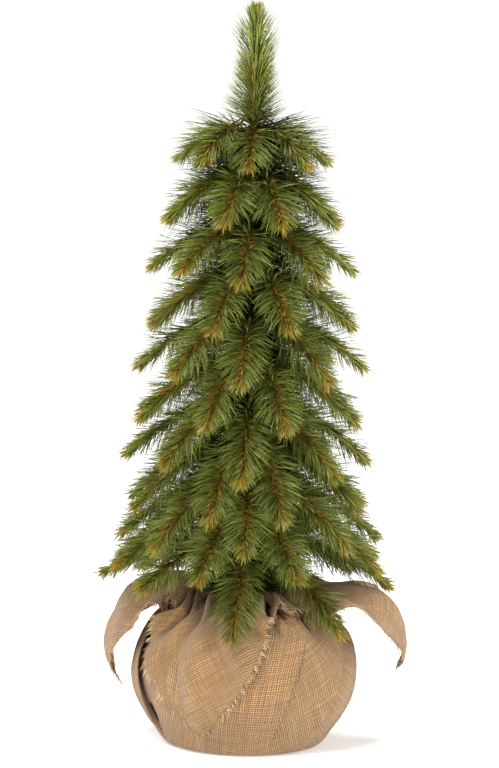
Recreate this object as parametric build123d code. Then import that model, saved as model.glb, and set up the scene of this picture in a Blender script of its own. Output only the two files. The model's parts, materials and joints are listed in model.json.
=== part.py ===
from build123d import *

import os
from math import cos, degrees, radians, sin, tan

# An artificial fir for a table top, in a weighted tub wrapped in a square of burlap.
# Frame: origin at the middle of the underside, +Z up the trunk, -Y the front, +X the viewer's right.
# Lengths are in millimetres and angles in degrees. An azimuth turns from +X towards +Y.

OVERALL_HEIGHT = 914.0
GAP = 0.3  # between curved faces that do not carry each other

# Wrapped base: the outside of the burlap over the tub, then drawn in to the neck
CLOTH = 2.6  # thickness of the gathered burlap
BASE_R = 97.0
BELLY_R = 136.0
BELLY_Z = 90.0
LOWER_R = 121.0  # the bowl halfway up
LOWER_Z = 42.0
SHOULDER_R = 112.0
SHOULDER_Z = 146.0
TURN_IN_R = 129.3  # between the belly and the shoulder
TURN_IN_Z = 122.0
ROOF_R = 60.0
ROOF_Z = 166.0
NECK_R = 28.0
NECK_BOTTOM = 171.0
NECK_TOP = 186.0
NECK_CUT = 10.0  # how far the trunk's opening is cut past each end of the neck

# Tub, and the cement that weights it
TUB_TOP = 95.0
TUB_WALL = 2.5
RIM_BEAD = 1.5  # extra thickness of the rim, inwards
RIM_DEPTH = 4.0
BALLAST_DEPTH = 32.0
SOCKET_WALL = 2.5
SOCKET_HEIGHT = 46.0

# Trunk
POLE_R = 5.0
POLE_BOTTOM = CLOTH + TUB_WALL + 4.0
TAPE_BOTTOM = 150.0
TAPE = 1.5
TRUNK_R = POLE_R + TAPE
LEADER_LENGTH = 112.0  # from the crown hinge to the tip
CROWN_Z = OVERALL_HEIGHT - LEADER_LENGTH
POLE_TOP = CROWN_Z - 6.0
CAP_DEPTH = 12.0
CAP_TOP = POLE_TOP + 2.0

# Twine round the neck
TWINE_R = 1.6
TWINE_TURNS = 3

# Corners of the burlap that fall outwards from the neck: their middle lines as (radius, z, width)
SIDE_CORNER = [(18, 184, 30), (62, 190, 96), (105, 195, 136), (142, 184, 128), (165, 150, 104),
               (171, 118, 60), (161, 88, 8)]
RIGHT_CORNER = [(18, 184, 30), (66, 189, 90), (120, 194, 120), (162, 188, 116), (190, 162, 104),
                (198, 132, 66), (189, 98, 8)]
FRONT_CORNER = [(18, 184, 30), (42, 183, 60), (66, 174, 92), (116, 153, 136), (141, 100, 112),
                (136, 72, 60), (126, 42, 8)]
CORNERS = [(244, FRONT_CORNER), (176, SIDE_CORNER), (83, SIDE_CORNER), (358, RIGHT_CORNER)]

# Wire, and the hinge where each folded wire passes through its lug
WIRE_R = 1.3
RUNNING_FIT = 0.05
HINGE_R = 12.0  # from the trunk axis to the hinge
LUG_WIDTH = 5.0
LUG_HEIGHT = 6.0
LUG_REACH = HINGE_R + 2.6
RING_WALL = 2.0
LUG_ROUND = 1.8
FOLD_R = 2.5

# Tiers of branches: four folded wires in each, and two branches on each wire
TIERS = 11
PAIRS = 4
HALF_FORK = 22.5  # between a pair's middle line and each of its branches
TOP_TIER_Z = 765.0
BOTTOM_TIER_Z = 258.0
SPACING_SHRINK = 2.6  # how much less each gap between tiers is than the one above it
TOP_TIP_R = 103.0
BOTTOM_TIP_R = 184.0
SIDE_DROOP = 16.0
FRONT_DROOP = 27.0
TOP_EXTRA_DROOP = 6.0
LOWEST_DROOP = 7.0  # the most that the bottom tier can droop over the cloth
MORE_DROOP = 6.0  # how much more each tier above it can
DROOP_UNEVENNESS = 1.5
TURN_UNEVENNESS = 2.0
CURVE = 34.0
TOP_EXTRA_CURVE = 12.0
NEEDLES_FROM_R = 36.0  # from the trunk axis to the first needles

# Needle mass of a branch: (share of its length, width, thickness)
BRANCH_SECTIONS = [
    (0.00, 14.0, 10.0),
    (0.18, 27.0, 18.0),
    (0.45, 35.0, 22.0),
    (0.75, 27.0, 19.0),
    (1.00, 8.0, 7.0),
]
LEADER_BARE = 14.0  # from the crown hinge to the leader's first needles
# Needle mass of the leader: (share of its length, diameter)
LEADER_SECTIONS = [(0.0, 18.0), (0.15, 30.0), (0.45, 34.0), (0.8, 20.0), (1.0, 6.0)]


def turned(*points):
    """A solid of revolution about the trunk from a closed outline of (radius, z) points."""
    outline = Polyline(*[(r, 0, z) for r, z in points], close=True)
    return revolve(make_face(outline), Axis.Z)


def tube(inner, outer, bottom, top):
    return turned((inner, bottom), (outer, bottom), (outer, top), (inner, top))


# Tiers

def tier_z(tier):
    """Height of a tier's hinges. The gaps shrink evenly from the top of the trunk to the bottom."""
    gaps = TIERS - 1
    first_gap = (TOP_TIER_Z - BOTTOM_TIER_Z + SPACING_SHRINK * gaps * (gaps - 1) / 2) / gaps
    return TOP_TIER_Z - first_gap * tier + SPACING_SHRINK * tier * (tier - 1) / 2


def tier_tip_r(tier):
    """Radius that a level branch of the tier would nearly reach."""
    return TOP_TIP_R + (BOTTOM_TIP_R - TOP_TIP_R) * (tier / (TIERS - 1)) ** 0.6


def tier_curve(tier):
    """Angle that a branch bends down along its length: most in the short top tier."""
    return CURVE + TOP_EXTRA_CURVE * max(0.0, 1.0 - tier / 2)


def pair_azimuth(tier, pair):
    """Middle line of a pair. Tiers alternate by half the spacing of branches, and none is quite regular."""
    stagger = HALF_FORK if tier % 2 else 0.0
    unevenness = TURN_UNEVENNESS * sin(2.4 * tier + 2.3 * pair)
    return 360.0 / PAIRS * pair + HALF_FORK + stagger + unevenness


def pair_droop(tier, pair):
    """Angle that a pair is bent down at its hinge: least at the two sides, most at the front and back.
    The lowest tiers are bent up to clear the cloth, apart from the branches that hang over its front."""
    facing = sin(radians(pair_azimuth(tier, pair)))
    droop = SIDE_DROOP + (FRONT_DROOP - SIDE_DROOP) * abs(facing) ** 1.5
    if tier == 0:
        droop += TOP_EXTRA_DROOP
    if facing > -0.5 or tier < TIERS - 1:
        droop = min(droop, LOWEST_DROOP + MORE_DROOP * (TIERS - 1 - tier))
    return droop + DROOP_UNEVENNESS * sin(1.3 * tier + 2.1 * pair)


def needle_curve(tier):
    """The needled part of a branch, in the XZ plane of its own azimuth: an arc that leaves its bare
    wire level. Gives the radius, height and downward slope at a share of the arc."""
    bend = radians(tier_curve(tier))
    bend_r = (tier_tip_r(tier) - NEEDLES_FROM_R) / sin(bend)

    def at(share):
        angle = bend * share
        return NEEDLES_FROM_R + bend_r * sin(angle), -bend_r * (1 - cos(angle)), degrees(angle)

    return at


def needle_mass(tier):
    """The needles of one branch, along +X, as one smooth body that follows the curved stem."""
    at = needle_curve(tier)
    sections = []
    for share, width, thickness in BRANCH_SECTIONS:
        r, z, slope = at(share)
        along = (cos(radians(slope)), 0, -sin(radians(slope)))
        place = Plane(origin=(r, 0, z), x_dir=(0, 1, 0), z_dir=along)
        sections.append(place * Ellipse(width / 2, thickness / 2))
    return loft(sections)


def folded_wire():
    """The bare wire of a pair: a crosspiece through the hinge, folded outwards into two level legs."""
    end_x = NEEDLES_FROM_R * cos(radians(HALF_FORK))
    end_y = NEEDLES_FROM_R * sin(radians(HALF_FORK))
    fold_y = HINGE_R * tan(radians(HALF_FORK))
    path = FilletPolyline(
        (end_x, -end_y, 0), (HINGE_R, -fold_y, 0), (HINGE_R, fold_y, 0), (end_x, end_y, 0), radius=FOLD_R
    )
    return sweep_round(path, WIRE_R)


def sweep_round(path, radius):
    """A round wire along a path."""
    return sweep(Plane(origin=path @ 0, z_dir=path % 0) * Circle(radius), path=path)


def branch_pair(tier, pair, wire, needles):
    """One pair in its place: its shape bent down about the hinge, then turned to its azimuth."""
    droop = Rotation(0, pair_droop(tier, pair), 0)
    hinge = Pos(HINGE_R, 0, 0)
    solids = [wire]
    for side in (1, -1):
        solids.append(Rot(0, 0, side * HALF_FORK) * needles)
    bent = [hinge * droop * Pos(-HINGE_R, 0, 0) * solid for solid in solids]
    place = Pos(0, 0, tier_z(tier)) * Rot(0, 0, pair_azimuth(tier, pair))
    return Compound([part for solid in bent for part in (place * solid).solids()])


def lug(z, height=LUG_HEIGHT):
    """A lug on +X that carries a crosspiece in its bore."""
    inner = TRUNK_R + 0.5
    block = Pos((inner + LUG_REACH) / 2, 0, z) * Box(LUG_REACH - inner, LUG_WIDTH, height)
    block = fillet(block.edges().filter_by(Axis.Y).group_by(Axis.X)[-1], LUG_ROUND)
    return block - bore(HINGE_R, z)


def bore(x, z):
    """The hole along Y that a crosspiece turns in."""
    return Pos(x, 0, z) * Rot(90, 0, 0) * Cylinder(WIRE_R + RUNNING_FIT, LUG_WIDTH + 2)


def tier_binding(tier):
    """The moulded ring on the trunk that holds a tier's four folded wires."""
    z = tier_z(tier)
    ring = tube(TRUNK_R, TRUNK_R + RING_WALL, z - LUG_HEIGHT / 2, z + LUG_HEIGHT / 2)
    for pair in range(PAIRS):
        ring += Rot(0, 0, pair_azimuth(tier, pair)) * lug(z)
    return ring.solid()


# Crown

def crown_binding():
    """The cap on the pole, with the lug that holds the leader's folded wire."""
    cap = tube(POLE_R, TRUNK_R + RING_WALL, POLE_TOP - CAP_DEPTH, POLE_TOP)
    cap += tube(0, TRUNK_R + RING_WALL, POLE_TOP, CAP_TOP)
    lug_top = CROWN_Z + LUG_HEIGHT / 2
    block = Pos(0, 0, (CAP_TOP + lug_top) / 2) * Box(LUG_HEIGHT, LUG_WIDTH, lug_top - CAP_TOP)
    block = fillet(block.edges().filter_by(Axis.Y).group_by(Axis.Z)[-1], LUG_ROUND)
    return (cap + block - bore(0, CROWN_Z)).solid()


def leader():
    """The upright top shoot: a folded wire in the crown's lug, and its needles."""
    needles_from = CROWN_Z + LEADER_BARE
    side = HINGE_R * tan(radians(HALF_FORK))
    path = FilletPolyline(
        (0, -side, needles_from), (0, -side, CROWN_Z), (0, side, CROWN_Z), (0, side, needles_from), radius=FOLD_R
    )
    length = OVERALL_HEIGHT - needles_from
    sections = [Pos(0, 0, needles_from + share * length) * Circle(d / 2) for share, d in LEADER_SECTIONS]
    return Compound([sweep_round(path, WIRE_R).solid(), loft(sections).solid()])


# Base

def bowl_side(inset, bottom):
    """Outline of the bowl, inset from the outside of the burlap, from the floor to the belly."""
    return ThreePointArc(
        (BASE_R - inset, 0, bottom), (LOWER_R - 0.9 * inset, 0, LOWER_Z + 0.4 * inset), (BELLY_R - inset, 0, BELLY_Z)
    )


def shoulder(inset):
    """Outline of the burlap where it turns in over the rim."""
    return ThreePointArc(
        (BELLY_R - inset, 0, BELLY_Z),
        (TURN_IN_R - inset, 0, TURN_IN_Z),
        (SHOULDER_R - 0.7 * inset, 0, SHOULDER_Z - 0.8 * inset),
    )


def closed_by(edges, *points):
    """Join a chain of edges to a run of straight lines that closes it, and revolve the outline."""
    start = edges[0] @ 0
    end = edges[-1] @ 1
    corners = [(end.X, end.Y, end.Z)] + [(r, 0, z) for r, z in points] + [(start.X, start.Y, start.Z)]
    lines = [Line(a, b) for a, b in zip(corners, corners[1:])]
    return revolve(make_face(edges + lines), Axis.Z)


def burlap_sack():
    """The gathered cloth round the tub and the bundle at the neck, open only round the trunk."""
    opening = TRUNK_R + GAP
    outside = closed_by(
        [bowl_side(0, 0), shoulder(0)],
        (ROOF_R, ROOF_Z), (NECK_R, NECK_BOTTOM), (NECK_R, NECK_TOP), (0, NECK_TOP), (0, 0),
    )
    hollow = closed_by(
        [bowl_side(CLOTH, CLOTH), shoulder(CLOTH)],
        (ROOF_R - 1, ROOF_Z - CLOTH), (NECK_R - 1, NECK_BOTTOM - CLOTH), (0, NECK_BOTTOM - CLOTH), (0, CLOTH),
    )
    return outside - hollow - tube(0, opening, NECK_BOTTOM - NECK_CUT, NECK_TOP + NECK_CUT)


def corner(points, azimuth):
    """One loose corner of the cloth: a thick sheet from the neck along its middle line to the tip."""
    sections = []
    for i, (r, z, width) in enumerate(points):
        before = points[max(i - 1, 0)]
        after = points[min(i + 1, len(points) - 1)]
        along = Vector(after[0] - before[0], 0, after[1] - before[1])
        sections.append(Plane(origin=(r, 0, z), x_dir=(0, 1, 0), z_dir=along) * Rectangle(width, CLOTH))
    return Rot(0, 0, azimuth) * loft(sections, ruled=True)


def burlap_wrap():
    """The whole square of burlap as it is gathered and tied."""
    cloth = burlap_sack()
    for azimuth, points in CORNERS:
        cloth += corner(points, azimuth)
    return (cloth - tube(0, TRUNK_R + GAP, NECK_BOTTOM - NECK_CUT, NECK_TOP + NECK_CUT)).solid()


def neck_tie():
    """Turns of twine side by side round the neck."""
    turns = []
    pitch = 2 * TWINE_R + 0.05
    middle = NECK_BOTTOM + TWINE_TURNS * pitch / 2
    for turn in range(TWINE_TURNS):
        z = middle + (turn - (TWINE_TURNS - 1) / 2) * pitch
        turns.append((Pos(0, 0, z) * Torus(NECK_R + TWINE_R + 0.1, TWINE_R)).solid())
    return Compound(turns)


def tub():
    """The moulded bowl inside the burlap, with a thicker rim."""
    inset = CLOTH + GAP
    outside = closed_by(
        [bowl_side(inset, CLOTH)], (BELLY_R - inset, TUB_TOP), (0, TUB_TOP), (0, CLOTH)
    )
    inner = inset + TUB_WALL
    hollow = closed_by(
        [bowl_side(inner, CLOTH + TUB_WALL)], (BELLY_R - inner, TUB_TOP), (0, TUB_TOP), (0, CLOTH + TUB_WALL)
    )
    rim_r = BELLY_R - inner
    rim = tube(rim_r - RIM_BEAD, rim_r + TUB_WALL / 2, TUB_TOP - RIM_DEPTH, TUB_TOP)
    return (outside - hollow + rim).solid()


def ballast():
    """Cement cast in the tub, round the socket."""
    floor = CLOTH + TUB_WALL
    inner = CLOTH + GAP + TUB_WALL
    filling = closed_by([bowl_side(inner, floor)], (0, BELLY_Z), (0, floor))
    level = floor + BALLAST_DEPTH
    filling -= tube(0, BELLY_R, level, OVERALL_HEIGHT)
    return (filling - tube(0, POLE_R + SOCKET_WALL, floor, level + 1)).solid()


def pole_socket():
    """The blind sleeve that the pole stands in."""
    floor = CLOTH + TUB_WALL
    outer = POLE_R + SOCKET_WALL
    return turned(
        (0, floor), (outer, floor), (outer, floor + SOCKET_HEIGHT), (POLE_R, floor + SOCKET_HEIGHT),
        (POLE_R, POLE_BOTTOM), (0, POLE_BOTTOM),
    )


def bindings():
    return Compound([tier_binding(tier) for tier in range(TIERS)])


def pair_name(tier, pair):
    """Tiers are numbered from the top, and a pair's letter runs round the trunk."""
    return f"branch_pair_{tier + 1:02d}{'abcd'[pair]}"


def main():
    os.makedirs("parts", exist_ok=True)
    single = {
        "burlap_wrap": burlap_wrap(),
        "neck_tie": neck_tie(),
        "tub": tub(),
        "ballast": ballast(),
        "pole_socket": pole_socket(),
        "trunk_pole": tube(0, POLE_R, POLE_BOTTOM, POLE_TOP),
        "trunk_wrap": tube(POLE_R, TRUNK_R, TAPE_BOTTOM, POLE_TOP - CAP_DEPTH),
        "tier_bindings": bindings(),
        "crown_binding": crown_binding(),
        "leader": leader(),
    }
    for name, shape in single.items():
        export_step(shape, f"parts/{name}.step")
    wire = folded_wire()
    for tier in range(TIERS):
        needles = needle_mass(tier)
        for pair in range(PAIRS):
            export_step(branch_pair(tier, pair, wire, needles), f"parts/{pair_name(tier, pair)}.step")


if __name__ == "__main__":
    main()
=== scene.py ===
"""An artificial fir in a burlap-wrapped tub: foliage, burlap, twine, materials, studio and camera."""

import json
from math import cos, pi, radians, sin, sqrt

import bpy
import numpy as np
from mathutils import Matrix, Vector


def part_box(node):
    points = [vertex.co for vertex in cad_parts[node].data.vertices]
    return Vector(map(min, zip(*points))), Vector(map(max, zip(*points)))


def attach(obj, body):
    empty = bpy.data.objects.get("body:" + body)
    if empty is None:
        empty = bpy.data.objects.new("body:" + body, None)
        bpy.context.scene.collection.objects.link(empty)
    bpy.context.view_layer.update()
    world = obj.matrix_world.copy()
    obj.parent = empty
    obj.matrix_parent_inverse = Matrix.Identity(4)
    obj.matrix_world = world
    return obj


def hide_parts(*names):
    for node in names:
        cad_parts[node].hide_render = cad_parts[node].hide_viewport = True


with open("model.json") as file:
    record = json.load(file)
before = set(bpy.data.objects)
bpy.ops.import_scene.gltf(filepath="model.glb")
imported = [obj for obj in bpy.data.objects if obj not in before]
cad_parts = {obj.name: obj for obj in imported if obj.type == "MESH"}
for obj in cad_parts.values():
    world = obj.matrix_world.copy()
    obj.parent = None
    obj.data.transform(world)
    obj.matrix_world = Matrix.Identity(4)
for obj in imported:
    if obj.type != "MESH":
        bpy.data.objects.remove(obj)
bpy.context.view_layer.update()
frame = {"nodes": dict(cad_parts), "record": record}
RECORD = frame["record"]
JOINTS = {joint["child"]: joint for joint in RECORD["behaviour"]["joints"]}
TRUNK_BODY = "base_and_trunk"
PAIRS = sorted(name for name in frame["nodes"] if name.startswith("branch_pair"))

MM = 0.001
UP = np.array([0.0, 0.0, 1.0])


# Meshes from arrays

class Soup:
    """Collects closed shapes with a colour at each corner, and makes one object of them."""

    def __init__(self):
        self.points, self.tints, self.quads, self.triangles = [], [], [], []
        self.count = 0

    def add(self, points, tints, quads=None, triangles=None):
        self.points.append(points)
        self.tints.append(tints)
        if quads is not None:
            self.quads.append(quads + self.count)
        if triangles is not None:
            self.triangles.append(triangles + self.count)
        self.count += len(points)

    def build(self, name, material, smooth=False):
        points = np.concatenate(self.points)
        tints = np.concatenate(self.tints)
        quads = np.concatenate(self.quads) if self.quads else np.zeros((0, 4), int)
        triangles = np.concatenate(self.triangles) if self.triangles else np.zeros((0, 3), int)
        mesh = bpy.data.meshes.new(name)
        mesh.vertices.add(len(points))
        mesh.vertices.foreach_set("co", points.astype(np.float32).ravel())
        corners = np.concatenate([quads.ravel(), triangles.ravel()]).astype(np.int32)
        mesh.loops.add(len(corners))
        mesh.loops.foreach_set("vertex_index", corners)
        quad_starts = np.arange(len(quads)) * 4
        triangle_starts = len(quads) * 4 + np.arange(len(triangles)) * 3
        mesh.polygons.add(len(quads) + len(triangles))
        starts = np.concatenate([quad_starts, triangle_starts])
        mesh.polygons.foreach_set("loop_start", starts.astype(np.int32))
        mesh.polygons.foreach_set("use_smooth", np.full(len(quads) + len(triangles), smooth))
        layer = mesh.color_attributes.new("tint", "FLOAT_COLOR", "POINT")
        rgba = np.concatenate([tints, np.ones((len(tints), 1))], axis=1)
        layer.data.foreach_set("color", rgba.astype(np.float32).ravel())
        mesh.materials.append(material)
        mesh.update(calc_edges=True)
        mesh.validate()
        piece = bpy.data.objects.new(name, mesh)
        bpy.context.scene.collection.objects.link(piece)
        return piece


def unit(vectors):
    return vectors / np.linalg.norm(vectors, axis=-1, keepdims=True)


# Rings of a needle: share of its length, share of its width, and how far it has bent
NEEDLE_RINGS = ((0.0, 0.8, 0.0), (0.6, 1.0, 0.02))
NEEDLE_BEND = 0.07  # at the tip, as a share of the length


def spikes(soup, roots, directions, bends, lengths, widths, base_tint, tip_tint, flat=0.45):
    """Adds needles: flattened three-sided blades that taper to a point and bend a little."""
    count = len(roots)
    forward = unit(directions)
    side = unit(np.cross(forward, bends))
    lift = np.cross(side, forward)
    rings = []
    for share, swell, curve in NEEDLE_RINGS:
        centre = roots + forward * (lengths * share)[:, None] + bends * (lengths * curve)[:, None]
        for turn in range(3):
            angle = 2 * pi * turn / 3
            across = side * (cos(angle) * widths / 2 * swell)[:, None]
            thick = lift * (sin(angle) * widths / 2 * swell * flat)[:, None]
            rings.append(centre + across + thick)
    tips = roots + forward * lengths[:, None] + bends * (lengths * NEEDLE_BEND)[:, None]
    points = np.stack(rings + [tips], axis=1).reshape(-1, 3)
    # Each needle has seven points: two rings of three, then its tip
    start = np.arange(count)[:, None] * 7
    quads = np.concatenate([start + [a, (a + 1) % 3, 3 + (a + 1) % 3, 3 + a] for a in range(3)])
    triangles = np.concatenate(
        [start + [3 + a, 3 + (a + 1) % 3, 6] for a in range(3)] + [start + [2, 1, 0]]
    )
    middle_tint = base_tint * 0.45 + tip_tint * 0.55
    tints = np.stack([base_tint] * 3 + [middle_tint] * 3 + [tip_tint], axis=1).reshape(-1, 3)
    soup.add(points, tints, quads, triangles)


def rod(soup, path, radii, tint, sides=6, twist=0.0):
    """Adds a capped round rod along a path of points."""
    path = np.asarray(path, float)
    count = len(path)
    along = unit(np.gradient(path, axis=0))
    reference = UP if abs(along[0][2]) < 0.9 else np.array([1.0, 0.0, 0.0])
    across = unit(np.cross(along, reference))
    up = np.cross(across, along)
    turn = np.linspace(0, 2 * pi, sides, endpoint=False)[None, :] + twist * np.arange(count)[:, None]
    radii = np.broadcast_to(np.asarray(radii, float), (count,))
    ring = (across[:, None] * np.cos(turn)[..., None] + up[:, None] * np.sin(turn)[..., None])
    points = (path[:, None] + ring * radii[:, None, None]).reshape(-1, 3)
    quads = []
    for i in range(count - 1):
        for j in range(sides):
            k = (j + 1) % sides
            quads.append([i * sides + j, (i + 1) * sides + j, (i + 1) * sides + k, i * sides + k])
    ends = np.stack([path[0], path[-1]])
    first, last = count * sides, count * sides + 1
    triangles = []
    for j in range(sides):
        k = (j + 1) % sides
        triangles.append([j, k, first])
        triangles.append([(count - 1) * sides + k, (count - 1) * sides + j, last])
    points = np.concatenate([points, ends])
    tints = np.broadcast_to(np.asarray(tint, float), (len(points), 3))
    soup.add(points, tints, np.array(quads), np.array(triangles))


# Node materials

class Nodes:
    """Short ways to add nodes to a material."""

    def __init__(self, name):
        self.material = bpy.data.materials.new(name)
        self.material.use_nodes = True
        self.tree = self.material.node_tree
        self.shader = self.tree.nodes["Principled BSDF"]

    def add(self, kind, **settings):
        node = self.tree.nodes.new(kind)
        for key, value in settings.items():
            setattr(node, key, value)
        return node

    def link(self, source, target):
        self.tree.links.new(source, target)

    def value(self, name, value):
        self.shader.inputs[name].default_value = value

    def noise(self, scale, detail=3.0, roughness=0.6, vector=None):
        node = self.add("ShaderNodeTexNoise")
        node.inputs["Scale"].default_value = scale
        node.inputs["Detail"].default_value = detail
        node.inputs["Roughness"].default_value = roughness
        if vector is None:
            vector = self.add("ShaderNodeTexCoord").outputs["Object"]
        self.link(vector, node.inputs["Vector"])
        return node.outputs["Fac"]

    def ramp(self, source, stops):
        node = self.add("ShaderNodeValToRGB")
        elements = node.color_ramp.elements
        while len(elements) < len(stops):
            elements.new(0.5)
        for element, (place, colour) in zip(elements, stops):
            element.position = place
            element.color = (*colour, 1.0)
        self.link(source, node.inputs["Fac"])
        return node.outputs["Color"]

    def mix(self, factor, a, b, blend="MIX"):
        node = self.add("ShaderNodeMix", data_type="RGBA", blend_type=blend)
        for socket, source in (("Factor", factor), ("A", a), ("B", b)):
            index = {"Factor": 0, "A": 6, "B": 7}[socket]
            target = node.inputs[index]
            if isinstance(source, (float, int)):
                target.default_value = source
            elif isinstance(source, tuple):
                target.default_value = (*source, 1.0)
            else:
                self.link(source, target)
        return node.outputs[2]

    def math(self, operation, a, b=None):
        node = self.add("ShaderNodeMath", operation=operation)
        for index, source in enumerate((a, b)):
            if source is None:
                continue
            if isinstance(source, (float, int)):
                node.inputs[index].default_value = source
            else:
                self.link(source, node.inputs[index])
        return node.outputs[0]

    def bump(self, height, strength, distance):
        node = self.add("ShaderNodeBump")
        node.inputs["Strength"].default_value = strength
        node.inputs["Distance"].default_value = distance
        self.link(height, node.inputs["Height"])
        self.link(node.outputs["Normal"], self.shader.inputs["Normal"])


def foliage_material():
    """Plastic needles: each has its own tint, with a soft gloss."""
    nodes = Nodes("needles")
    nodes.value("Specular IOR Level", 0.3)
    tint = nodes.add("ShaderNodeVertexColor", layer_name="tint").outputs["Color"]
    patches = nodes.ramp(nodes.noise(14.0), [(0.3, (0.82, 0.84, 0.8)), (0.7, (1.12, 1.1, 1.06))])
    nodes.link(nodes.mix(1.0, tint, patches, "MULTIPLY"), nodes.shader.inputs["Base Color"])
    gloss = nodes.ramp(nodes.noise(300.0), [(0.3, (0.42,) * 3), (0.7, (0.6,) * 3)])
    nodes.link(gloss, nodes.shader.inputs["Roughness"])
    return nodes.material


def grainy_material(name, dark, light, roughness, grain, bump):
    """A moulded, painted or cast surface with fine grain and slight unevenness of colour."""
    nodes = Nodes(name)
    fine = nodes.noise(grain, 4.0)
    nodes.link(nodes.ramp(fine, [(0.3, dark), (0.7, light)]), nodes.shader.inputs["Base Color"])
    smoother, rougher = (roughness - 0.08,) * 3, (roughness + 0.08,) * 3
    spread = nodes.ramp(nodes.noise(grain / 6), [(0.3, smoother), (0.7, rougher)])
    nodes.link(spread, nodes.shader.inputs["Roughness"])
    nodes.bump(fine, bump, 0.0004)
    return nodes.material


# Foliage

GREEN_DARK = np.array([0.022, 0.034, 0.004])
GREEN = np.array([0.100, 0.135, 0.011])
GREEN_LIGHT = np.array([0.275, 0.325, 0.046])
# Pale sage painted on needle tips as a highlight, the gloss of the plastic
SAGE_HIGHLIGHT = np.array([0.530, 0.570, 0.220])
BROWN_DARK = np.array([0.110, 0.050, 0.007])
BROWN = np.array([0.310, 0.190, 0.016])
GOLD = np.array([0.580, 0.420, 0.060])

GARLAND_NEEDLES = 8500  # dark needles round the trunk, which close the gaps between branches; their darkness is painted shade of the tree's inside
GARLAND_REACH = (0.042, 0.092)
NEEDLE = 44 * MM
NEEDLE_WIDTH = 1.45 * MM
SWEEP = radians(50)  # between a needle and its stem
STEM_R = 1.5 * MM
GREEN_PER_M = 2800  # green needles along a metre of stem
BROWN_PER_M = 2700
FUZZ_WIDTH = 1.2 * MM
FUZZ_LENGTHS = (0.011, 0.018)
FUZZ_SWEEP = radians(44)
FUZZ_SPREAD = radians(9)
FUZZ_CLOSING = radians(14)  # how much less the fuzz is swept out at the tip
HIGHLIGHT_SHARE = 0.38  # of the green needles, whose tips get a painted sage highlight
TIP_CLOSING = 0.42  # how much less the green needles are swept out at the tip
LEAN_SPREAD = radians(5.0)
GOLDEN_FROM = (0.6, 1.3)  # nearness to the tip at which a green needle turns golden
COLLAR = {"density": 4.0, "flatness": 0.0, "brown": 2.0, "taper": 0.1}  # the tuft at the foot of the leader
FOLD = 4.5 * MM  # from the hinge to the fold at each end of a crosspiece
HALF_FORK = radians(22.5)
NEEDLES_FROM = 30 * MM
TIP_NEEDLES = 21 * MM  # how far the last needles reach past the end of the leader's stem
TIP_INSET = 3 * MM
LONGEST_STEM = 172 * MM


def mixed(rng, count, low, high):
    share = rng.random((count, 1))
    return low * (1 - share) + high * share


def green_tints(rng, count):
    """Base and tip colours: mostly mid green, some dark, and some tips painted pale sage as highlights."""
    base = mixed(rng, count, GREEN_DARK, GREEN)
    tip = mixed(rng, count, GREEN, GREEN_LIGHT)
    highlight_tips = rng.random(count) < HIGHLIGHT_SHARE
    # The pale sage on these tips is a painted highlight: the gloss of the plastic needles
    tip[highlight_tips] = mixed(rng, highlight_tips.sum(), GREEN_LIGHT, SAGE_HIGHLIGHT)
    return base, tip


def brush(soup, rng, path, needle=NEEDLE, density=1.0, flatness=0.42, sweep=SWEEP, brown=1.0, taper=0.58):
    """Needles all along a stem: long green ones, mostly to its sides, and a short golden-brown fuzz."""
    path = np.asarray(path, float)
    pieces = np.linalg.norm(np.diff(path, axis=0), axis=1)
    marks = np.concatenate([[0.0], np.cumsum(pieces)])
    length = marks[-1]
    along_all = unit(np.gradient(path, axis=0))

    def frame_at(distance):
        place = np.stack([np.interp(distance, marks, path[:, i]) for i in range(3)], axis=1)
        along = unit(np.stack([np.interp(distance, marks, along_all[:, i]) for i in range(3)], axis=1))
        reference = np.where(np.abs(along[:, 2:]) < 0.95, UP, np.array([0.0, 1.0, 0.0]))
        across = unit(np.cross(along, reference))
        return place, along, across, np.cross(across, along)

    count = int(GREEN_PER_M * density * length)
    distance = np.sort(rng.random(count)) * length
    place, along, across, up = frame_at(distance)
    angle = rng.random(count) * 2 * pi
    angle -= flatness * np.sin(2 * angle)
    radial = across * np.cos(angle)[:, None] + up * np.sin(angle)[:, None]
    left = (length - distance) / length
    near_tip = np.clip(1 - (length - distance) / (0.55 * NEEDLE + 0.2 * length), 0, 1)
    lean = sweep * (1 - TIP_CLOSING * near_tip) + rng.normal(0, LEAN_SPREAD, count)
    size = needle * (1 - taper * near_tip) * rng.uniform(0.78, 1.08, count)
    size *= 1 - 0.25 * np.clip((left - 0.85) / 0.15, 0, 1)
    direction = along * np.cos(lean)[:, None] + radial * np.sin(lean)[:, None]
    base, tip = green_tints(rng, count)
    golden = near_tip > rng.uniform(*GOLDEN_FROM, count)
    base[golden] = mixed(rng, golden.sum(), BROWN_DARK, BROWN)
    tip[golden] = mixed(rng, golden.sum(), BROWN, GOLD)
    width = NEEDLE_WIDTH * rng.uniform(0.8, 1.15, count)
    spikes(soup, place + radial * STEM_R * 0.6, direction, along, size, width, base, tip)

    count = int(BROWN_PER_M * density * brown * length)
    distance = np.sort(rng.random(count)) ** 0.9 * length
    place, along, across, up = frame_at(distance)
    angle = rng.random(count) * 2 * pi
    radial = across * np.cos(angle)[:, None] + up * np.sin(angle)[:, None]
    near_tip = np.clip(1 - (length - distance) / (0.35 * length), 0, 1)
    lean = rng.normal(FUZZ_SWEEP, FUZZ_SPREAD, count) - FUZZ_CLOSING * near_tip
    size = rng.uniform(*FUZZ_LENGTHS, count)
    direction = along * np.cos(lean)[:, None] + radial * np.sin(lean)[:, None]
    base = mixed(rng, count, BROWN_DARK, BROWN)
    tip = mixed(rng, count, BROWN, GOLD)
    spikes(soup, place + radial * STEM_R * 0.6, direction, along, size, np.full(count, FUZZ_WIDTH), base, tip)


def mesh_points(node):
    mesh = frame["nodes"][node].data
    points = np.empty(len(mesh.vertices) * 3, np.float32)
    mesh.vertices.foreach_get("co", points)
    return points.reshape(-1, 3).astype(float)


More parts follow.
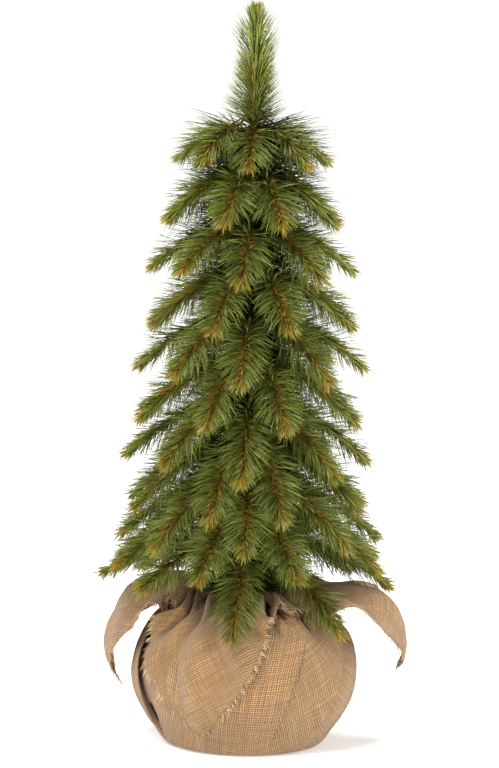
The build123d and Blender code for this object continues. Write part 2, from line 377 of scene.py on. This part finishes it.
def stems_of(node):
    """The middle lines of a pair's two needle masses, read from the CAD shape, from the trunk outwards."""
    hinge = np.array(JOINTS[node]["pos_m"])
    axis = np.array(JOINTS[node]["axis"])
    outward = unit(np.array([hinge[0], hinge[1], 0.0]))
    points = mesh_points(node)
    stems = []
    for side in (1, -1):
        leg = outward * cos(HALF_FORK) - axis * side * sin(HALF_FORK)
        across = np.cross(UP, leg)
        mine = points[(points @ axis) * -side > 0.004]
        u, v, w = mine @ leg, mine @ across, mine[:, 2]
        edges = np.linspace(NEEDLES_FROM, u.max() - 0.002, 15)
        rows = []
        for low, high in zip(edges, edges[1:]):
            inside = (u >= low) & (u < high)
            if inside.sum() < 8:
                continue
            rows.append(((low + high) / 2, (v[inside].max() + v[inside].min()) / 2,
                         (w[inside].max() + w[inside].min()) / 2))
        rows = np.array(rows)
        sideways = np.polyfit(rows[:, 0], rows[:, 1], 2)
        height = np.polyfit(rows[:, 0], rows[:, 2], 3)
        reach = np.linspace(NEEDLES_FROM, min(u.max() - TIP_INSET, LONGEST_STEM), 24)
        line = (leg[None] * reach[:, None] + across[None] * np.polyval(sideways, reach)[:, None]
                + UP[None] * np.polyval(height, reach)[:, None])
        stems.append(line)
    return hinge, axis, stems


def branch_pair(node, number, material):
    """Two branches on one folded wire."""
    rng = np.random.default_rng(1000 + number)
    hinge, axis, stems = stems_of(node)
    soup = Soup()
    for side, stem in zip((1, -1), stems):
        fold = hinge - axis * side * FOLD
        wire = np.concatenate([[fold], stem])
        rod(soup, wire, np.linspace(1.3, 0.7, len(wire)) * MM, BROWN_DARK * 1.5, 6, 0.9)
        brush(soup, rng, stem)
    rod(soup, [hinge - axis * FOLD, hinge, hinge + axis * FOLD], 1.2 * MM, BROWN_DARK, 6)
    piece = soup.build("foliage_" + node[len("branch_pair_"):], material)
    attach(piece, node)
    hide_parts(node)
    return piece


def leader(material):
    """The top shoot, with needles swept up round it."""
    rng = np.random.default_rng(77)
    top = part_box("leader")[1][2]
    hinge_z = JOINTS["leader"]["pos_m"][2]
    soup = Soup()
    stem = np.linspace([0, 0, hinge_z], [0, 0, top - TIP_NEEDLES], 16)
    rod(soup, stem, 1.5 * MM, BROWN_DARK * 1.5, 6, 0.9)
    brush(soup, rng, stem, needle=48 * MM, density=2.0, flatness=0.0, sweep=radians(41), taper=0.72)
    collar = np.linspace([0, 0, hinge_z - 0.004], [0, 0, hinge_z + 0.022], 6)
    brush(soup, rng, collar, 40 * MM, **COLLAR, sweep=radians(66))
    piece = soup.build("leader_shoot", material)
    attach(piece, "leader")
    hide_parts("leader")


def trunk_garland(material):
    """The dark tape on the pole, the needles round it darkened with painted shade, and the tuft under the
    leader.
    """
    rng = np.random.default_rng(5)
    low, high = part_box("trunk_wrap")
    soup = Soup()
    radius = high[0]
    path = np.linspace([0, 0, low[2]], [0, 0, high[2]], 80)
    rod(soup, path, radius * (1 + 0.05 * np.sin(np.arange(80) * 2.1)), BROWN_DARK * 0.5, 12, 0.4)
    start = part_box("neck_tie")[1][2] + 0.02
    top_tier = max(JOINTS[node]["pos_m"][2] for node in PAIRS)
    count = GARLAND_NEEDLES
    z = rng.uniform(start, top_tier - 0.01, count)
    angle = rng.random(count) * 2 * pi
    radial = np.stack([np.cos(angle), np.sin(angle), np.zeros(count)], axis=1)
    direction = radial + UP[None] * rng.uniform(-0.75, 0.35, count)[:, None]
    roots = radial * radius * 0.9 + UP[None] * z[:, None]
    base = green_tints(rng, count)[0]
    size = rng.uniform(*GARLAND_REACH, count)
    # Garland tints are the green base tints scaled to 0.3 at the root and 0.6 at the tip: painted shade of the
    # tree's inside
    spikes(soup, roots, direction, np.broadcast_to(UP, roots.shape) * 0.3 + radial, size,
           np.full(count, NEEDLE_WIDTH * 1.7), base * 0.3, base * 0.6)
    collar = np.linspace([0, 0, top_tier - 0.012], [0, 0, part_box("crown_binding")[1][2] - 0.006], 6)
    brush(soup, rng, collar, 46 * MM, **COLLAR, sweep=radians(72))
    piece = soup.build("trunk_garland", material)
    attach(piece, TRUNK_BODY)
    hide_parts("trunk_wrap")


# Burlap: one square of cloth, mapped from flat onto the tub, pleated in to the neck and fanned out again

CLOTH_SIDE = 0.857
CLOTH_T = 1.3 * MM
YARN = 2.6 * MM
STRAW = [(0.3, (0.29, 0.150, 0.050)), (0.5, (0.48, 0.272, 0.102)), (0.7, (0.74, 0.470, 0.205))]
LOOSE_THREADS = 1500
# Outline of the wrapped cloth from the middle of the floor to the top of the neck, (radius, z) in mm
SACK = [(0, 1), (90, 1), (97, 2.5), (104, 12), (113, 27), (121, 42), (129, 58), (134, 74), (136, 90),
        (135, 105), (130, 122), (121, 138), (106, 151), (84, 161), (60, 167), (40, 170), (30, 173), (28, 179),
        (28, 186)]
# Middle lines of the loose corners from the neck outwards, and the azimuth of each
SIDE_FALL = [(28, 186), (60, 190), (92, 195), (120, 195), (143, 185), (158, 168), (167, 147), (171, 124),
             (168, 102), (161, 86), (152, 74)]
RIGHT_FALL = [(28, 186), (64, 190), (100, 195), (135, 196), (164, 189), (182, 174), (193, 154), (198, 130),
              (195, 110), (188, 96), (180, 86)]
FRONT_FALL = [(28, 186), (46, 183), (70, 176), (96, 167), (118, 157), (134, 141), (142, 118), (143, 95),
              (137, 70), (127, 46), (118, 30)]
CORNERS = [(244, FRONT_FALL), (358, RIGHT_FALL), (443, SIDE_FALL), (543, SIDE_FALL)]
# Knife pleats: where each lies on the flat cloth, its share of what is taken in, and how far it lifts in mm
PLEATS = [(14, 0.10, 2.5), (48, 0.12, 2.2), (92, 0.12, 2.2), (128, 0.10, 2.2), (172, 0.12, 2.5),
          (207, 0.17, 6.0), (286, 0.10, 2.5), (316, 0.10, 3.5), (344, 0.07, 2.5)]
MIDDLE_PAST = 77 * MM  # cloth past the neck at the middle of a side
CORNER_PAST = 255 * MM
BELLY_Z = 92 * MM
EDGE_DROP = 55 * MM  # how far a corner's two sides hang below its middle
SPREAD = 3.1  # how far a corner fans out sideways
SOFT_WAVE = 2.6 * MM  # unevenness of the cloth on the tub
DRAPE_WAVE = 6.0 * MM  # and of its loose corners
FAN_FOLD = 6.5 * MM  # folds that fan out from the neck


def measured(points):
    """A line in metres with the distance along it of each point."""
    line = np.array(points, float) * MM
    steps = np.linalg.norm(np.diff(line, axis=0), axis=1)
    return line, np.concatenate([[0.0], np.cumsum(steps)])


def smooth_step(low, high, value):
    share = np.clip((value - low) / (high - low), 0, 1)
    return share * share * (3 - 2 * share)


def follow(points, distance):
    """Radius and height at a distance along an outline, and its outward normal."""
    line, marks = measured(points)
    fine = np.linspace(0, marks[-1], 400)
    r, z = np.interp(fine, marks, line[:, 0]), np.interp(fine, marks, line[:, 1])
    kernel = np.hanning(31)
    kernel /= kernel.sum()
    pad = 15
    r_smooth = np.convolve(np.pad(r, pad, "reflect", reflect_type="odd"), kernel, "valid")
    z_smooth = np.convolve(np.pad(z, pad, "reflect", reflect_type="odd"), kernel, "valid")
    dr, dz = np.gradient(r_smooth), np.gradient(z_smooth)
    size = np.hypot(dr, dz)
    return [np.interp(distance, fine, row) for row in (r_smooth, z_smooth, dz / size, -dr / size)]


def ripple(angle, distance, rates, rng):
    """A smooth irregular wave over the cloth, from -1 to 1."""
    total = np.zeros_like(distance)
    for around, along in rates:
        wave = np.sin(around * angle + rng.uniform(0, 2 * pi))
        total += wave * np.sin(along * distance + rng.uniform(0, 2 * pi))
    return total / sqrt(len(rates))


def pleated(angle, taken):
    """Knife pleats: the cloth's angle after its Z-folds, and the lift of its layers."""
    turned, lift = angle.copy(), np.zeros_like(angle)
    for centre, share, height in PLEATS:
        depth = np.maximum(taken * share, 1e-6)
        place = (angle - radians(centre)) / depth
        turned -= 2 * depth * np.clip(place + 0.5, 0, 1)
        over = smooth_step(-3.2, -1.2, place) * (place < -0.5)
        fold = np.where(np.abs(place) <= 0.5, -2 * place, 0.0)
        under = -(1 - smooth_step(1.3, 3.0, place)) * (place > 0.5)
        lift += height * MM * (over + fold + 0.6 * under) * smooth_step(0.0, 0.5, taken)
    return turned / np.maximum(1 - taken / pi, 0.05), lift


def wrapped(angle, distance, neck, rng):
    """Where a point of the flat cloth goes, given by its angle and distance from the middle."""
    past = np.maximum(distance - neck, 0.0)
    r, z, out_r, out_z = follow(SACK, np.minimum(distance, neck))
    visible = np.clip(r / np.maximum(np.minimum(distance, neck), 1e-6), 0.42, 1.0)
    taken = pi * (1 - visible) * smooth_step(0.095, 0.14, distance) * (1 - smooth_step(0.0, 0.09, past))
    turned, lift = pleated(angle, taken)

    first = radians(CORNERS[0][0])
    quarter = (angle - first) / (pi / 2)
    nearest = np.round(quarter)
    from_corner = (quarter - nearest) * pi / 2
    twists = np.array([radians(azimuth) - first - k * pi / 2 for k, (azimuth, _) in enumerate(CORNERS)])
    low = np.floor(quarter).astype(int)
    blend = smooth_step(0.0, 1.0, quarter - low)
    twist = twists[low % 4] * (1 - blend) + twists[(low + 1) % 4] * blend
    turned = turned + twist * smooth_step(0.1, neck, distance)
    turned = turned + from_corner * SPREAD * np.clip((past - MIDDLE_PAST) / (CORNER_PAST - MIDDLE_PAST), 0, 1)

    falls = [np.stack(follow(fall, past)) for _, fall in CORNERS]
    fall = np.zeros_like(falls[0])
    for k in range(4):
        from_this = np.abs((quarter - k + 2) % 4 - 2)
        weight = np.where(from_this < 1, 0.5 + 0.5 * np.cos(pi * from_this), 0.0)
        fall += falls[k] * weight
    beyond = past > 0
    from_front = np.abs((quarter + 2) % 4 - 2)
    hanging = EDGE_DROP * np.abs(from_corner / (pi / 4)) ** 1.3
    hanging = hanging * smooth_step(0.03, 0.12, past) * smooth_step(0.4, 1.0, from_front)
    r, z = np.where(beyond, fall[0], r), np.where(beyond, fall[1] - hanging, z)
    out_r, out_z = np.where(beyond, fall[2], out_r), np.where(beyond, fall[3], out_z)

    gather = smooth_step(0.235, 0.30, distance) * (1 - smooth_step(0.03, 0.14, past))
    gather_wave = np.sin(34 * angle + 0.8 * np.sin(5 * angle)) + 0.4 * np.sin(53 * angle + 1.0)
    gather_size = np.interp(r, [0.03, 0.07, 0.11], [5 * MM, 11 * MM, 7 * MM])
    lift = lift + gather_size * gather * gather_wave
    soft = ripple(turned, distance, [(3, 21), (5, 34), (7, 45), (11, 30)], rng)
    on_sack = smooth_step(0.10, 0.18, distance) * (1 - smooth_step(0.30, neck, distance))
    lift = lift + SOFT_WAVE * soft * on_sack
    loose = smooth_step(0.04, 0.12, past)
    drape = ripple(turned, past, [(9, 22), (13, 33), (17, 15)], rng)
    lift = lift + DRAPE_WAVE * loose * drape
    fan_folds = smooth_step(0.02, 0.07, past) * (1 - smooth_step(0.12, 0.21, past))
    lift = lift + FAN_FOLD * fan_folds * np.sin(26 * angle + 1.5 * np.sin(3 * angle))
    return r, z, out_r, out_z, turned, lift


def burlap_material():
    """Coarse plain weave: uneven yarns over and under each other, with dark gaps between them."""
    nodes = Nodes("burlap")
    flat = nodes.add("ShaderNodeAttribute", attribute_name="flat").outputs["Vector"]
    split = nodes.add("ShaderNodeSeparateXYZ")
    wobble = nodes.noise(60.0, 2.0, vector=flat)
    nodes.link(flat, split.inputs[0])
    drift = nodes.math("MULTIPLY", nodes.math("SUBTRACT", wobble, 0.5), 1.6 * YARN)
    rows = []
    for axis in ("X", "Y"):
        place = nodes.math("ADD", split.outputs[axis], drift)
        rows.append(nodes.math("SINE", nodes.math("MULTIPLY", place, pi / YARN)))
    over = nodes.math("MULTIPLY", rows[0], rows[1])
    yarns = nodes.math("MULTIPLY", nodes.math("ABSOLUTE", rows[0]), nodes.math("ABSOLUTE", rows[1]))
    filled = nodes.math("POWER", yarns, 0.6)
    height = nodes.math("ADD", nodes.math("MULTIPLY", over, 0.35), filled)
    slubs = []
    for scale in ((420.0, 14.0, 1.0), (14.0, 420.0, 1.0)):
        stretch = nodes.add("ShaderNodeMapping")
        stretch.inputs["Scale"].default_value = scale
        nodes.link(flat, stretch.inputs["Vector"])
        slubs.append(nodes.noise(1.0, 2.0, vector=stretch.outputs["Vector"]))
    streaks = nodes.math("MULTIPLY", nodes.math("ADD", slubs[0], slubs[1]), 0.5)
    straw = nodes.ramp(streaks, STRAW)
    patchy = nodes.noise(9.0, 2.0, vector=flat)
    patches = nodes.ramp(patchy, [(0.3, (0.86, 0.85, 0.83)), (0.7, (1.06, 1.04, 1.0))])
    straw = nodes.mix(1.0, straw, patches, "MULTIPLY")
    shade = nodes.ramp(filled, [(0.2, (0.20, 0.16, 0.12)), (0.75, (1.0, 1.0, 1.0))])
    nodes.link(nodes.mix(1.0, straw, shade, "MULTIPLY"), nodes.shader.inputs["Base Color"])
    nodes.value("Roughness", 0.92)
    nodes.value("Sheen Weight", 0.25)
    nodes.value("Sheen Roughness", 0.6)
    nodes.bump(height, 0.8, 0.0009)
    return nodes.material


def thread_material():
    nodes = Nodes("threads")
    tint = nodes.add("ShaderNodeVertexColor", layer_name="tint").outputs["Color"]
    fine = nodes.ramp(nodes.noise(700.0), [(0.3, (0.75,) * 3), (0.7, (1.1,) * 3)])
    nodes.link(nodes.mix(1.0, tint, fine, "MULTIPLY"), nodes.shader.inputs["Base Color"])
    nodes.value("Roughness", 0.9)
    return nodes.material


def burlap():
    """The gathered square, and the loose threads along its cut edges."""
    rng = np.random.default_rng(31)
    neck = measured(SACK)[1][-1]
    around, inner_rows, outer_rows = 480, 64, 38
    angles = np.linspace(0, 2 * pi, around, endpoint=False)
    to_side = (angles - radians(CORNERS[0][0])) % (pi / 2) - pi / 4
    edge = CLOTH_SIDE / 2 / np.cos(to_side)
    inner = neck * np.linspace(0.02, 1, inner_rows)[:, None] * np.ones(around)
    outer = neck + (edge - neck) * (np.arange(1, outer_rows + 1) / outer_rows)[:, None]
    distance = np.concatenate([inner, outer])
    angle = np.broadcast_to(angles, distance.shape).copy()
    r, z, out_r, out_z, turned, lift = wrapped(angle, distance, neck, rng)
    r, z = r + out_r * lift, z + out_z * lift
    shoulder = np.array(SACK[8:], float)[::-1] * MM
    resting = np.interp(r, shoulder[:, 0], shoulder[:, 1], right=0.0) + 2.5 * MM
    z = np.where((distance > neck) & (z > BELLY_Z), np.maximum(z, resting), z)
    z = np.maximum(z, CLOTH_T * 0.6)
    points = np.stack([r * np.cos(turned), r * np.sin(turned), z], axis=-1)
    flat = np.stack([distance * np.cos(angle), distance * np.sin(angle), np.zeros_like(angle)], axis=-1)
    rows = len(distance)
    index = np.arange(rows * around).reshape(rows, around)
    after = np.roll(index, -1, axis=1)
    quads = np.stack([index[:-1], after[:-1], after[1:], index[1:]], axis=-1).reshape(-1, 4)
    centre = rows * around
    fan = np.stack([np.full(around, centre), after[0], index[0]], axis=-1)
    soup = Soup()
    every = np.concatenate([points.reshape(-1, 3), [[0, 0, z[0].mean()]]])
    soup.add(every, np.full((len(every), 3), 0.6), quads, fan)
    cloth = soup.build("burlap_cloth", burlap_material(), smooth=True)
    layer = cloth.data.attributes.new("flat", "FLOAT_VECTOR", "POINT")
    on_flat = np.concatenate([flat.reshape(-1, 3), [[0, 0, 0]]])
    layer.data.foreach_set("vector", on_flat.astype(np.float32).ravel())
    thick = cloth.modifiers.new("thickness", "SOLIDIFY")
    thick.thickness = CLOTH_T
    thick.offset = 0.0

    rim, within = points[-1], points[-3]
    count = LOOSE_THREADS
    place = rng.uniform(0, around, count)
    low = place.astype(int)
    share = (place - low)[:, None]
    root = rim[low] * (1 - share) + rim[(low + 1) % around] * share
    outward = unit(root - (within[low] * (1 - share) + within[(low + 1) % around] * share))
    outward = outward + rng.normal(0, 0.28, (count, 3))
    droop = rng.normal(0, 0.5, (count, 3)) - UP * 0.6
    tints = mixed(rng, count, np.array([0.42, 0.25, 0.11]), np.array([0.78, 0.57, 0.34]))
    soup = Soup()
    size = rng.uniform(4, 13, count) * MM
    spikes(soup, root - unit(outward) * MM, outward, droop, size, np.full(count, 0.9 * MM), tints, tints, 0.9)
    fringe = soup.build("burlap_fringe", thread_material())
    for piece in (cloth, fringe):
        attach(piece, TRUNK_BODY)
    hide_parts("burlap_wrap")


# Twine, and the hidden parts

TWINE_TURNS = 3
TWINE_PLIES = 2
TWINE_TWISTS = 9  # in one turn round the neck
PLY_OFFSET = 0.45  # from the middle of the twine to the middle of a ply, as a share of its radius
PLY_SHARE = 0.62
TWINE_TINT = np.array([0.46, 0.29, 0.13])


def twine():
    """Two-ply twine wound round the neck, each turn above the last, with the two ends tucked inwards."""
    low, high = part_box("neck_tie")
    radius = (high[2] - low[2]) / TWINE_TURNS / 2
    round_r = high[0] - radius
    turn = np.linspace(0, 2 * pi * TWINE_TURNS, 110 * TWINE_TURNS)
    rise = np.linspace(low[2] + radius, high[2] - radius, len(turn))
    tucked = 4 * MM * (1 - smooth_step(0.0, 0.3, np.minimum(turn, turn[-1] - turn)))
    soup = Soup()
    for ply in range(TWINE_PLIES):
        twist = TWINE_TWISTS * turn + 2 * pi * ply / TWINE_PLIES
        reach = round_r - tucked + PLY_OFFSET * radius * np.cos(twist)
        height = rise + PLY_OFFSET * radius * np.sin(twist)
        path = np.stack([reach * np.cos(turn), reach * np.sin(turn), height], axis=1)
        rod(soup, path, PLY_SHARE * radius, TWINE_TINT, 8)
    piece = soup.build("neck_twine", thread_material(), smooth=True)
    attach(piece, TRUNK_BODY)
    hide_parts("neck_tie")


def dress_hidden_parts():
    """Materials for the CAD parts that show as they are."""
    moulded = grainy_material("moulded_green", (0.018, 0.028, 0.012), (0.034, 0.046, 0.022), 0.55, 260.0, 0.15)
    steel = grainy_material("painted_steel", (0.020, 0.026, 0.014), (0.040, 0.050, 0.028), 0.42, 340.0, 0.12)
    black = grainy_material("moulded_black", (0.012, 0.012, 0.012), (0.030, 0.030, 0.030), 0.6, 180.0, 0.2)
    cement = grainy_material("cement", (0.26, 0.25, 0.23), (0.44, 0.43, 0.40), 0.88, 220.0, 0.7)
    for node, material, name in (
        ("tub", black, "tub"),
        ("ballast", cement, "cement"),
        ("pole_socket", moulded, "binding"),
        ("trunk_pole", steel, "steel"),
        ("tier_bindings", moulded, "binding"),
        ("crown_binding", moulded, "binding"),
    ):
        item = frame["nodes"][node]
        item.data.materials.clear()
        item.data.materials.append(material)


# Studio and camera

CAMERA_DISTANCE = 3.6
CAMERA_HEIGHT = 0.765
FRAME_HEIGHT = 0.932  # of the view, at the trunk
AIM_Z = 0.441
ROLL = radians(1.1)
SKY_LIGHT = 0.38
SKY_SEEN = 1.1
FLOOR_GLOW = (0.15, 1.0, 0.35, 0.9)  # from and to these distances from the trunk, and its strength at each


def studio():
    bpy.context.scene.view_settings.view_transform = "Standard"
    world = bpy.data.worlds.new("studio")
    bpy.context.scene.world = world
    world.use_nodes = True
    tree = world.node_tree
    background = tree.nodes["Background"]
    background.inputs["Color"].default_value = (1.0, 1.0, 1.0, 1.0)
    rays = tree.nodes.new("ShaderNodeLightPath")
    strength = tree.nodes.new("ShaderNodeMapRange")
    strength.inputs["To Min"].default_value = SKY_LIGHT
    strength.inputs["To Max"].default_value = SKY_SEEN
    tree.links.new(rays.outputs["Is Camera Ray"], strength.inputs["Value"])
    tree.links.new(strength.outputs["Result"], background.inputs["Strength"])
    mesh = bpy.data.meshes.new("floor")
    mesh.from_pydata([(-30, -30, 0), (30, -30, 0), (30, 30, 0), (-30, 30, 0)], [], [(0, 1, 2, 3)])
    floor = bpy.data.objects.new("floor", mesh)
    bpy.context.scene.collection.objects.link(floor)
    nodes = Nodes("floor")
    nodes.value("Base Color", (0.93, 0.93, 0.93, 1.0))
    nodes.value("Roughness", 0.9)
    nodes.value("Emission Color", (1.0, 1.0, 1.0, 1.0))
    place = nodes.add("ShaderNodeTexCoord").outputs["Object"]
    reach = nodes.add("ShaderNodeVectorMath", operation="LENGTH")
    nodes.link(place, reach.inputs[0])
    glow = nodes.add("ShaderNodeMapRange")
    for socket, value in zip(("From Min", "From Max", "To Min", "To Max"), FLOOR_GLOW):
        glow.inputs[socket].default_value = value
    nodes.link(reach.outputs["Value"], glow.inputs["Value"])
    nodes.link(glow.outputs["Result"], nodes.shader.inputs["Emission Strength"])
    mesh.materials.append(nodes.material)
    for name, place, size, power in (
        ("key", (-1.4, -2.2, 2.4), 1.0, 88.0),
        ("fill", (2.2, -1.8, 1.4), 1.4, 38.0),
        ("top", (0.3, 0.4, 2.8), 1.0, 62.0),
    ):
        light = bpy.data.lights.new(name, "AREA")
        light.energy = power
        light.size = size
        lamp = bpy.data.objects.new(name, light)
        lamp.location = place
        aim = Vector((0, 0, 0.45)) - Vector(place)
        lamp.rotation_euler = aim.to_track_quat("-Z", "Y").to_euler()
        bpy.context.scene.collection.objects.link(lamp)


def camera():
    data = bpy.data.cameras.new("camera")
    data.sensor_fit = "VERTICAL"
    data.sensor_height = 36.0
    data.lens = 36.0 * CAMERA_DISTANCE / FRAME_HEIGHT
    data.clip_end = 100.0
    eye = Vector((0, -CAMERA_DISTANCE, CAMERA_HEIGHT))
    aim = Vector((0, 0, AIM_Z))
    item = bpy.data.objects.new("camera", data)
    turn = (aim - eye).to_track_quat("-Z", "Y").to_matrix().to_4x4()
    item.matrix_world = Matrix.Translation(eye) @ turn @ Matrix.Rotation(ROLL, 4, "Z")
    bpy.context.scene.collection.objects.link(item)
    bpy.context.scene.camera = item


camera()
studio()
needles = foliage_material()
for number, node in enumerate(PAIRS):
    branch_pair(node, number, needles)
leader(needles)
trunk_garland(needles)
burlap()
twine()
dress_hidden_parts()
